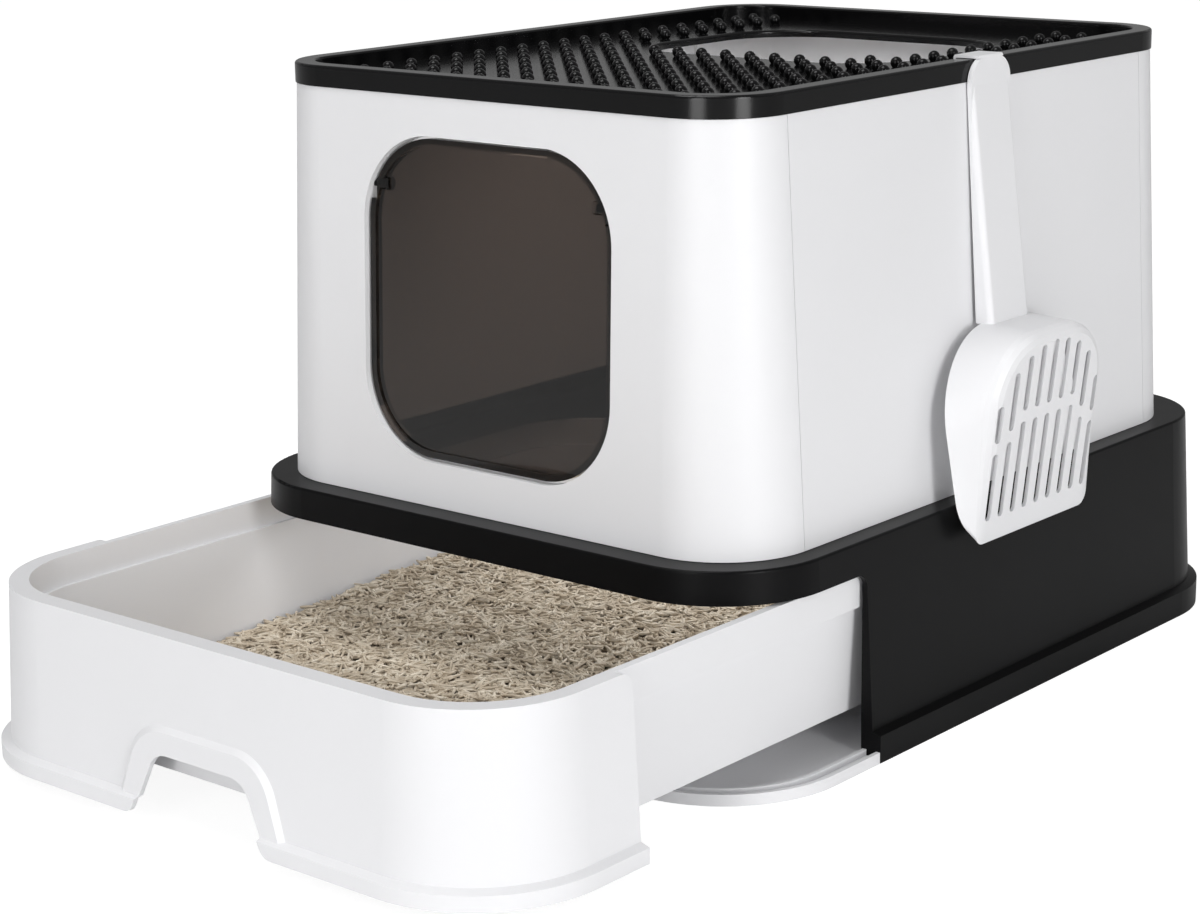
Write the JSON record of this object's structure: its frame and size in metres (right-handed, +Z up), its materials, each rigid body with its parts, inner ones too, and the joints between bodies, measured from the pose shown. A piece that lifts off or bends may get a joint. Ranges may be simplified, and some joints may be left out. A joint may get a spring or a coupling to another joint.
{
  "type": "drawer litter box",
  "caption": "Enclosed litter box for a cat, with a pull-out litter drawer, swinging front flap, removable top cover with entry hatch, and hanging scoop",
  "frame": {"origin": "middle of the closed box's footprint, on the floor, which is the middle of the base's underside", "axes": "+Z up, the front with the door and the drawer faces -Y, +X is the right-hand side of someone who faces the front"},
  "size_m": [0.4256, 0.725, 0.3702],
  "materials": {
    "white_base": "satin moulded white",
    "white_panel": "satin moulded white",
    "black_frame": "satin moulded black",
    "white_drawer": "satin moulded white",
    "black_cover": "satin moulded black",
    "black_knobs": "glossy moulded black",
    "white_scoop": "satin moulded white",
    "black_pin": "plain black",
    "smoked_flap": "smoked clear plastic",
    "litter": "loose beige pellets"
  },
  "bodies": {
    "base": {"base_plate": "white_base", "base_frame": "black_frame"},
    "drawer": {"drawer_tray": "white_drawer", "litter_bed": "litter"},
    "housing": {"front_panel": "white_panel", "rear_panel": "white_panel", "left_side_panel": "white_panel", "right_side_panel": "white_panel"},
    "flap": {"front_flap": "smoked_flap", "left_flap_pin": "black_pin", "right_flap_pin": "black_pin"},
    "cover": {"top_cover": "black_cover", "top_knobs": "black_knobs"},
    "scoop": {"scoop": "white_scoop"}
  },
  "joints": [
    {"name": "drawer_slide", "type": "slide", "parent": "base", "child": "drawer", "axis": [0, -1, 0], "range_m": [-0.195, 0.24]},
    {"name": "housing_lift", "type": "slide", "parent": "base", "child": "housing", "axis": [0, 0, 1], "range_m": [0, 0.15]},
    {"name": "flap_hinge", "type": "hinge", "parent": "housing", "child": "flap", "pos_m": [0, -0.2258, 0.30477], "axis": [1, 0, 0], "range_deg": [-75, 75]},
    {"name": "cover_lift", "type": "slide", "parent": "housing", "child": "cover", "axis": [0, 0, 1], "range_m": [0, 0.08]},
    {"name": "scoop_lift", "type": "slide", "parent": "cover", "child": "scoop", "axis": [0, 0, 1], "range_m": [0, 0.15]}
  ]
}
